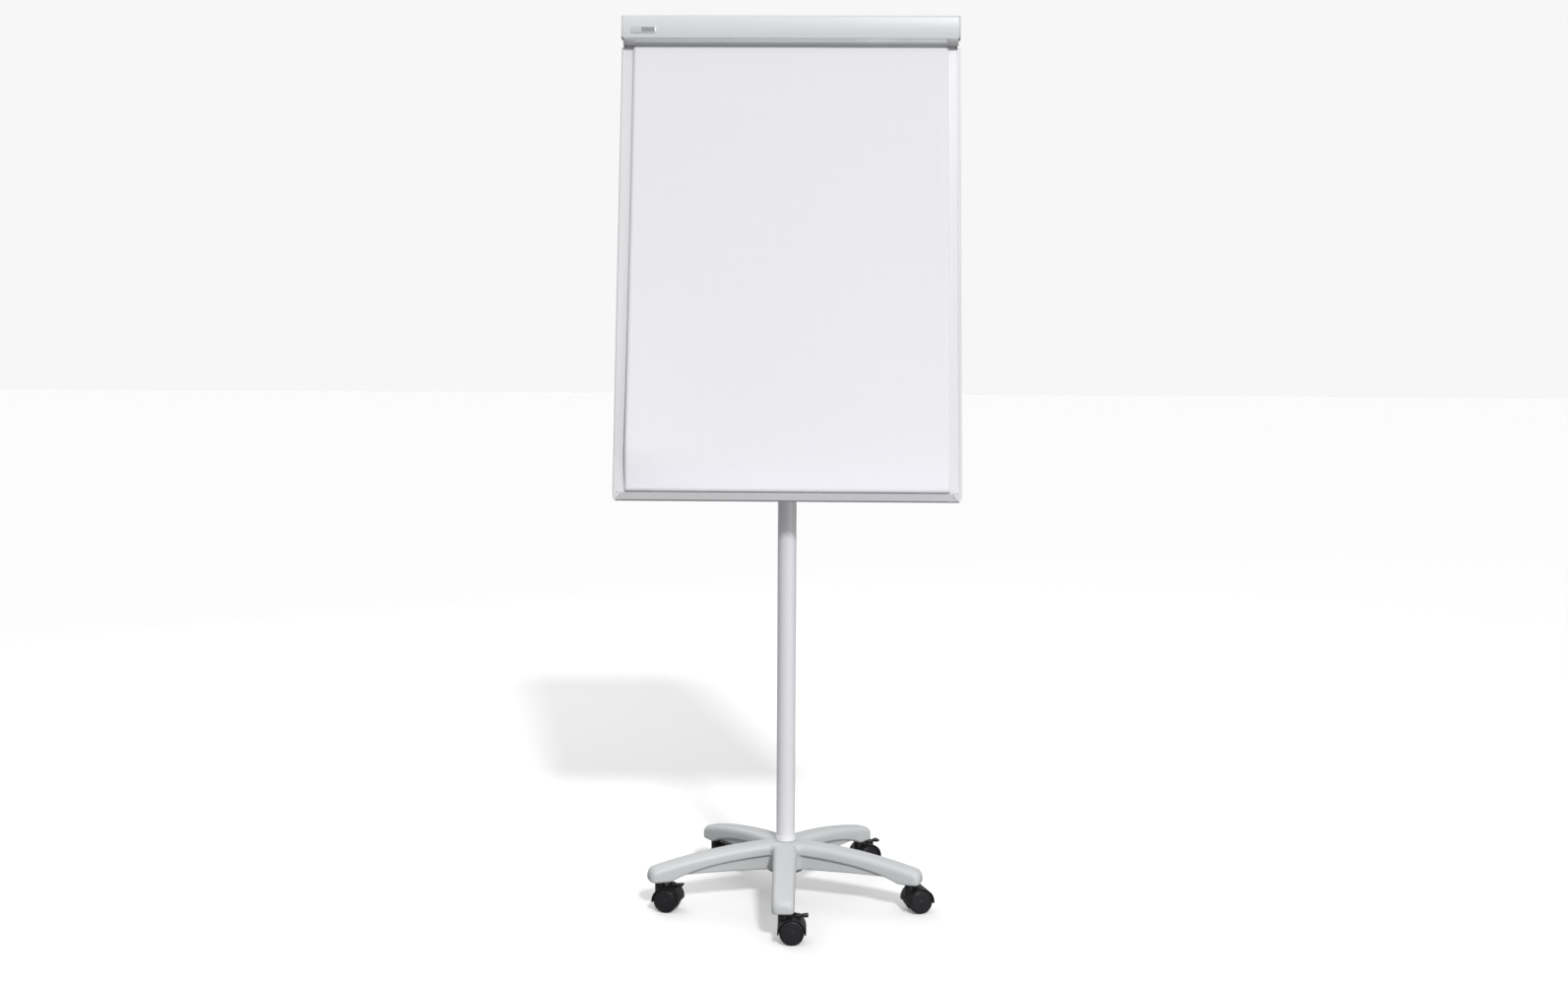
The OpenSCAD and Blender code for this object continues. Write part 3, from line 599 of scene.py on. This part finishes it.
def makeStarBase():
    low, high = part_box("star_base")
    whole = bmesh.new()
    for name in ("front", "right_front", "right_rear", "left_rear", "left_front"):
        place = Vector(joints["castor_" + name + "_swivel"]["pos_m"])
        radius = math.hypot(place.x, place.y)
        arm = bmesh.new()
        addArm(arm, radius, low.z + 3.5 * mm, high.z)
        bmesh.ops.transform(arm, matrix=Matrix.Rotation(math.atan2(place.y, place.x), 4, "Z"), verts=arm.verts)
        mesh = bpy.data.meshes.new("arm")
        arm.to_mesh(mesh)
        arm.free()
        whole.from_mesh(mesh)
        bpy.data.meshes.remove(mesh)
    keel = baseShape["keelBottom"] - 0.5 * mm
    addTurned(whole, [
        (0, keel), (0.038, keel), (0.041, keel + 3 * mm), (0.044, high.z - 0.026), (0.048, high.z - 0.013),
        (0.045, high.z - 0.005), (0.034, high.z - 0.0012), (0, high.z)])
    bmesh.ops.recalc_face_normals(whole, faces=whole.faces)
    piece = finishPiece(whole, "starBase", "basePlastic", "base", replaces=["star_base"], sharp=180)
    remesh = piece.modifiers.new("fuse", "REMESH")
    remesh.mode = "VOXEL"
    remesh.voxel_size = baseShape["voxel"]
    soften = piece.modifiers.new("soften", "SMOOTH")
    soften.factor = 0.5
    soften.iterations = baseShape["soften"]
    bakeModifiers(piece)
    piece.data.materials.clear()
    piece.data.materials.append(finish["basePlastic"])
    return piece


def bakeModifiers(piece):
    # the mesh takes on what its modifiers do, and they are removed
    bpy.context.view_layer.update()
    graph = bpy.context.evaluated_depsgraph_get()
    mesh = bpy.data.meshes.new_from_object(piece.evaluated_get(graph))
    old = piece.data
    piece.modifiers.clear()
    piece.data = mesh
    bpy.data.meshes.remove(old)
    for polygon in mesh.polygons:
        polygon.use_smooth = True


makeStarBase()
print("star base ready")


# castors

wheelShape = {"radius": 24 * mm, "width": 18 * mm, "gap": 0.4 * mm, "web": 11 * mm, "edge": 2.4 * mm, "groove": 19 * mm, "steps": 64}


def makeWheel(castor, side):
    # a moulded wheel: crowned tread, flat disc with a ring groove and a low centre dome
    joint = joints[f"castor_{castor}_{side}_roll"]
    outward = Vector(joint["axis"]) * (1 if side == "far" else -1)
    radius, width, edge = wheelShape["radius"], wheelShape["width"], wheelShape["edge"]
    groove = wheelShape["groove"]
    tread = [(radius - 0.35 * mm, width * 0.15), (radius, width * 0.4), (radius, width * 0.6), (radius - 0.35 * mm, width * 0.85)]
    rim = arcPoints((radius - edge, width - edge), edge - 0.2 * mm, 12, 90, 4)
    disc = [
        (groove + 1.2 * mm, width - 0.2 * mm), (groove + 0.6 * mm, width - 0.9 * mm), (groove, width - 0.9 * mm),
        (groove - 0.7 * mm, width - 0.2 * mm), (groove * 0.6, width), (5 * mm, width), (4.6 * mm, width + 0.25 * mm), (0, width + 0.45 * mm)]
    bm = bmesh.new()
    addTurned(bm, [(3.2 * mm, 0), (radius - 4 * mm, 0), (radius - 1 * mm, 0.6 * mm)] + tread + rim + disc, wheelShape["steps"])
    bmesh.ops.holes_fill(bm, edges=[edge for edge in bm.edges if edge.is_boundary])
    start = Vector(joint["pos_m"]) + outward * (wheelShape["web"] / 2 + wheelShape["gap"])
    turn = outward.to_track_quat("Z", "Y").to_matrix().to_4x4()
    return finishPiece(
        bm, f"{castor}_{side}Wheel", "wheelPlastic", f"castor_{castor}_{side}",
        place=Matrix.Translation(start) @ turn, replaces=[f"castor_{castor}_{side}_wheel"], sharp=28)


for castor in ("front", "right_front", "right_rear", "left_rear", "left_front"):
    for side in ("near", "far"):
        makeWheel(castor, side)
    dressNode(f"castor_{castor}_hood", "castorPlastic", 0.7 * mm, 3)
    dressNode(f"castor_{castor}_stem", "zincSteel", 0.3 * mm)
    dressNode(f"castor_{castor}_axle", "zincSteel", 0.2 * mm)
    if f"castor_{castor}_brake" in frame["nodes"]:
        dressNode(f"castor_{castor}_brake", "castorPlastic", 1.0 * mm, 3)
print("castors ready")


# column and mast

mastShape = {"radius": 16 * mm, "wall": 1.5 * mm, "bend": 0.16, "top": 0.648, "axisBehind": 45.5 * mm, "segments": 48, "bendSteps": 10}


def makeMast():
    # one tube, bent smoothly where the CAD mast has its knee
    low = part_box("mast_tube")[0].z
    lean = math.radians(boardPlace["tilt"])
    # the leaning axis meets the column's axis at the knee
    axisPoint = board @ Vector((0, mastShape["axisBehind"], 0))
    knee = axisPoint.z - axisPoint.y / math.tan(lean)
    startBend = knee - mastShape["bend"] * math.tan(lean / 2)
    bm = bmesh.new()
    ring = bmesh.ops.create_circle(bm, segments=mastShape["segments"], radius=mastShape["radius"], matrix=Matrix.Translation((0, 0, low)))["verts"]
    edges = list({edge for vert in ring for edge in vert.link_edges})
    made = bmesh.ops.extrude_edge_only(bm, edges=edges)["geom"]
    verts = [part for part in made if isinstance(part, bmesh.types.BMVert)]
    bmesh.ops.translate(bm, verts=verts, vec=(0, 0, startBend - low))
    rim = [part for part in made if isinstance(part, bmesh.types.BMEdge)]
    spun = bmesh.ops.spin(
        bm, geom=verts + rim, cent=(0, mastShape["bend"], startBend), axis=(-1, 0, 0), angle=lean, steps=mastShape["bendSteps"])["geom_last"]
    made = bmesh.ops.extrude_edge_only(bm, edges=[part for part in spun if isinstance(part, bmesh.types.BMEdge)])["geom"]
    verts = [part for part in made if isinstance(part, bmesh.types.BMVert)]
    middle = sum((vert.co for vert in verts), Vector()) / len(verts)
    end = board @ Vector((0, mastShape["axisBehind"], mastShape["top"]))
    bmesh.ops.translate(bm, verts=verts, vec=end - middle)
    bmesh.ops.recalc_face_normals(bm, faces=bm.faces)
    bmesh.ops.solidify(bm, geom=bm.faces[:], thickness=mastShape["wall"])
    return finishPiece(bm, "mast", "tubePaint", "board", replaces=["mast_tube"])


knobShape = {"radius": 19.5 * mm, "lobe": 1.5 * mm, "lobes": 6, "length": 18 * mm, "stand": 16 * mm, "screw": 4 * mm, "segments": 96}


def makeKnob():
    # a lobed hand grip with a dished face, on its threaded stud
    low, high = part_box("clamp_knob")
    centre = Vector(joints["knob_turn"]["pos_m"])
    back = high.y - knobShape["length"]
    bm = bmesh.new()
    ring = bmesh.ops.create_circle(bm, cap_ends=True, segments=knobShape["segments"], radius=knobShape["radius"])["verts"]
    for vert in ring:
        turn = math.atan2(vert.co.y, vert.co.x)
        vert.co *= 1 + knobShape["lobe"] / knobShape["radius"] * math.cos(knobShape["lobes"] * turn)
    made = bmesh.ops.extrude_face_region(bm, geom=bm.faces[:])["geom"]
    top = [part for part in made if isinstance(part, bmesh.types.BMFace)]
    bmesh.ops.translate(bm, verts=top[0].verts[:], vec=(0, 0, knobShape["length"]))
    roundEdges(bm, 2.2 * mm, 4, 60)
    face = max(bm.faces, key=lambda one: one.calc_center_median().z)
    bmesh.ops.inset_individual(bm, faces=[face], thickness=5 * mm, depth=0)
    bmesh.ops.inset_individual(bm, faces=[face], thickness=1.4 * mm, depth=-1.6 * mm)
    bmesh.ops.create_cone(bm, cap_ends=True, segments=40, radius1=8 * mm, radius2=9.5 * mm, depth=6 * mm, matrix=Matrix.Translation((0, 0, -2 * mm)))
    place = Matrix.Translation((0, back, centre.z)) @ Matrix.Rotation(math.radians(-90), 4, "X")
    finishPiece(bm, "clampKnob", "blackPlastic", "knob", place=place, replaces=["clamp_knob"])
    stud = bmesh.new()
    outline = [(0, 0), (knobShape["screw"] - 0.6 * mm, 0), (knobShape["screw"], 0.6 * mm)]
    turns = int((back - low.y) / (1.25 * mm)) - 1
    for turn in range(turns):
        height = 0.6 * mm + turn * 1.25 * mm
        outline += [(knobShape["screw"], height + 0.35 * mm), (knobShape["screw"] - 0.55 * mm, height + 0.9 * mm), (knobShape["screw"], height + 1.25 * mm)]
    outline += [(knobShape["screw"], back - low.y - 1 * mm), (0, back - low.y - 1 * mm)]
    addTurned(stud, outline, 28)
    finishPiece(stud, "clampStud", "zincSteel", "knob", place=Matrix.Translation((0, low.y, centre.z)) @ Matrix.Rotation(math.radians(-90), 4, "X"))


makeMast()
makeKnob()
dressNode("column_tube", "tubePaint", 0)
dressNode("foot_collar", "tubePaint", 0.3 * mm)
dressNode("foot_insert", "blackPlastic", 0.3 * mm)
dressNode("base_plate", "zincSteel", 0.4 * mm)
dressNode("column_bolt", "zincSteel", 0.4 * mm)
dressNode("guide_bush", "blackPlastic", 0.4 * mm)
dressNode("clamp_collar", "blackPlastic", 1.2 * mm, 3)
dressNode("mast_glide", "blackPlastic", 0.4 * mm)
dressNode("mast_cap", "blackPlastic", 0.8 * mm, 3)
dressNode("saddle_brackets", "tubePaint", 1.0 * mm, 3)
dressNode("saddle_screws", "zincSteel", 0.3 * mm)
print("column and mast ready")


# board

dressNode("steel_face", "writingFace", 0)
dressNode("board_core", "coreBoard", 0)
dressNode("back_sheet", "backPaint", 0)
dressNode("left_rail", "railPaint", 0.5 * mm)
dressNode("right_rail", "railPaint", 0.5 * mm)
dressNode("top_rail", "railPaint", 0.5 * mm)
dressNode("hinge_brackets", "zincSteel", 0.5 * mm)
dressNode("hinge_pins", "zincSteel", 0.3 * mm)
dressNode("left_hook", "zincSteel", 0.4 * mm)
dressNode("right_hook", "zincSteel", 0.4 * mm)
dressNode("pad_backing", "padCard", 0)
# the pen tray's darker finish is painted shade for its downward-facing lip
dressNode("pen_tray", "trayPaintPaintedShade", 0.5 * mm)
dressNode("tray_cheeks", "cheekPlastic", 0.8 * mm)
print("board ready")


# pad


def makeTopSheet():
    # the loose top sheet: its lower left edge bows away from the pad and tucks in again at its foot
    bm = bmesh.new()
    bmesh.ops.create_grid(bm, x_segments=paper["columns"], y_segments=paper["rows"], size=0.5, calc_uvs=True)
    layer = bm.loops.layers.uv.active or bm.loops.layers.uv.new("UVMap")
    for face in bm.faces:
        for loop in face.loops:
            loop[layer].uv = (loop.vert.co.x + 0.5, loop.vert.co.y + 0.5)
    for vert in bm.verts:
        across, up = vert.co.x + 0.5, vert.co.y + 0.5
        along = up * paper["length"]
        fromEdge = across * paper["width"]
        peak = paper["liftAt"]
        if along < peak:
            rise = math.sin(math.pi / 2 * along / peak) ** 1.2
        else:
            rise = max(0.0, 1 - (along - peak) / (paper["length"] - 0.12 - peak)) ** 2.6
        bow = math.exp(-((fromEdge / paper["reach"]) ** 1.4))
        wave = noise.noise(Vector((across * 2.1, up * 2.6, 3.7))) * 0.9 * mm * min(1, along / 0.1) * min(1, (paper["length"] - along) / 0.15)
        off = paper["lift"] * rise * bow + abs(wave)
        right = max(0.0, across - 0.86) / 0.14
        off += 2.4 * mm * right ** 2 * math.sin(math.pi * min(1, along / 0.9)) ** 2
        vert.co = Vector((-paper["width"] / 2 + fromEdge, paper["back"] - 0.25 * mm - off, paper["foot"] + along))
    bmesh.ops.transform(bm, matrix=board, verts=bm.verts)
    mesh = bpy.data.meshes.new("topSheet")
    bm.to_mesh(mesh)
    bm.free()
    for polygon in mesh.polygons:
        polygon.use_smooth = True
    mesh.materials.append(finish["sheetPaper"])
    sheet = bpy.data.objects.new("topSheet", mesh)
    bpy.context.scene.collection.objects.link(sheet)
    thick = sheet.modifiers.new("thickness", "SOLIDIFY")
    thick.thickness = 0.15 * mm
    thick.offset = 0
    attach(sheet, "board")
    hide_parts("top_sheet")
    return sheet


def makePaperBlock():
    # the block under it, with ruled faces and layered edges
    low, high = -paper["width"] / 2, paper["width"] / 2
    bm = bmesh.new()
    back, front = boardPlace["lip"] - 0.9 * mm, paper["back"]
    addBlock(bm, (low, front, paper["foot"]), (high, back, paper["foot"] + paper["length"]))
    roundEdges(bm, 0.25 * mm, 1, 60)
    return finishPiece(bm, "paperBlock", "paperEdges", "board", place=board, replaces=["paper_block"])


topSheet = makeTopSheet()
makePaperBlock()
print("pad ready")


# clamp bar

barShape = {"out": 16 * mm, "face": 51 * mm, "jaw": 12 * mm, "wall": 2 * mm, "round": 7 * mm, "endWall": 3 * mm, "endLength": 24 * mm}


def barOutline():
    # the bar's section in (y, z): face, rounded head and short back flange, with its hollow
    top = boardPlace["length"]
    low = top - barShape["face"]
    front, back = -barShape["out"], boardPlace["depth"]
    wall, bend = barShape["wall"], barShape["round"]
    outer = [(front + 0.6 * mm, low), (front - 0.0 * mm, low + 1.2 * mm)]
    outer += arcPoints((front + bend, top - bend), bend, 180, 90, 8)
    outer += arcPoints((back - 3 * mm, top - 3 * mm), 3 * mm, 90, 0, 4)
    outer += [(back, top - wall - 1.2 * mm)]
    inner = [(back - wall, top - wall - 1.2 * mm)]
    inner += arcPoints((back - 3 * mm, top - 3 * mm), 1 * mm, 0, 90, 3)[1:]
    inner += arcPoints((front + bend, top - bend), bend - wall, 90, 180, 6)
    inner += [(front + wall, low)]
    return outer + inner


def makeClampBar():
    half = boardPlace["halfWidth"] - barShape["endWall"] - 0.2 * mm
    bm = bmesh.new()
    addPrism(bm, barOutline(), -half, half)
    return finishPiece(bm, "clampBar", "barPaint", "clamp", place=board, replaces=["clamp_bar"], sharp=30)


def makeClampEnds():
    half = boardPlace["halfWidth"]
    top = boardPlace["length"]
    low = top - barShape["face"]
    front, back = -barShape["out"], boardPlace["depth"]
    bend = barShape["round"]
    outline = [(front, low + 3 * mm)] + arcPoints((front + bend, top - bend), bend, 180, 90, 8)
    outline += arcPoints((back - 3 * mm, top - 3 * mm), 3 * mm, 90, 0, 4)
    outline += [(back, top - 0.024), (2 * mm, low + 1 * mm)]
    for side in (-1, 1):
        bm = bmesh.new()
        addPrism(bm, outline, half - barShape["endWall"], half)
        roundEdges(bm, 0.9 * mm, 3, 50)
        turn = Matrix.Diagonal((side, 1, 1, 1))
        word = "Left" if side < 0 else "Right"
        finishPiece(bm, "clampEnd" + word, "barEndPlastic", "clamp", place=board @ turn, replaces=["clamp_ends"])
        # jaw ends under the bar's ends; their darker finish is painted shade for the lip's shadow over the board's
        # margins
        jaw = low - barShape["jaw"]
        bm = bmesh.new()
        inner = half - 0.0045 - barShape["endLength"]
        addPrism(bm, [(front + 0.8 * mm, low + 1 * mm), (front + 0.8 * mm, jaw + 5 * mm), (front + 5.5 * mm, jaw - 1.5 * mm),
                      (-5 * mm, jaw - 1.5 * mm), (-4 * mm, jaw), (-4 * mm, jaw + 5 * mm), (front + 8 * mm, low - 1 * mm)], inner, half - 0.0045)
        roundEdges(bm, 0.5 * mm, 2, 50)
        finishPiece(bm, "jawEnd" + word, "jawEnd", "clamp", place=board @ turn)


def makeClampJaw():
    # the soft strip that grips the paper, with a rounded toe and a fine bead along its face; its grey tone, darker
    # than the bar's paint, is painted shade standing in for a lip that faces down
    low = boardPlace["length"] - barShape["face"] - barShape["jaw"]
    high = boardPlace["length"] - barShape["face"]
    front = -barShape["out"] + 1.2 * mm
    half = boardPlace["halfWidth"] - 0.0045 - barShape["endLength"] + 0.5 * mm
    outline = [(front, high + 2 * mm), (front, low + 6 * mm)]
    outline += arcPoints((front + 5 * mm, low + 5 * mm), 5 * mm, 180, 270, 6)
    outline += [(-6 * mm, low), (-4 * mm, low + 1.5 * mm), (-3.8 * mm, low + 4 * mm), (-6 * mm, low + 7 * mm), (front + 6 * mm, low + 8 * mm), (front + 2.5 * mm, high + 2 * mm)]
    bm = bmesh.new()
    addPrism(bm, outline, -half, half)
    roundEdges(bm, 0.3 * mm, 2, 40)
    return finishPiece(bm, "clampJaw", "jawPlastic", "clamp", place=board, replaces=["clamp_jaw"], sharp=30)


badgeShape = {"centre": -0.304, "drop": 0.0335, "width": 0.052, "height": 0.0145, "thick": 1.2 * mm}


def makeBadge():
    # a plain two-part plate with no marks on it
    front = -barShape["out"]
    middle = boardPlace["length"] - badgeShape["drop"]
    w, h = badgeShape["width"] / 2, badgeShape["height"] / 2
    bm = bmesh.new()
    addBlock(bm, (badgeShape["centre"] - w, front - badgeShape["thick"], middle - h), (badgeShape["centre"] + w, front + 0.2 * mm, middle + h))
    roundEdges(bm, 2 * mm, 4, 60, lambda edge: abs(edge.verts[0].co.y - edge.verts[1].co.y) > 1e-4)
    roundEdges(bm, 0.35 * mm, 2, 60)
    finishPiece(bm, "badgePlate", "badgePlate", "clamp", place=board)
    bm = bmesh.new()
    addBlock(bm, (badgeShape["centre"] - 0.004, front - badgeShape["thick"] - 0.3 * mm, middle - h + 2.4 * mm), (badgeShape["centre"] + w - 2.4 * mm, front - badgeShape["thick"] + 0.1 * mm, middle + h - 2.4 * mm))
    roundEdges(bm, 1.2 * mm, 3, 60, lambda edge: abs(edge.verts[0].co.y - edge.verts[1].co.y) > 1e-4)
    finishPiece(bm, "badgeInset", "badgeInset", "clamp", place=board)


makeClampBar()
makeClampEnds()
makeClampJaw()
makeBadge()
print("clamp bar ready")


# floor


def makeFloor():
    bm = bmesh.new()
    bmesh.ops.create_grid(bm, x_segments=8, y_segments=8, size=30)
    mesh = bpy.data.meshes.new("studioFloor")
    bm.to_mesh(mesh)
    bm.free()
    mesh.materials.append(finish["studioFloor"])
    floor = bpy.data.objects.new("studioFloor", mesh)
    bpy.context.scene.collection.objects.link(floor)


makeFloor()
print("floor ready")
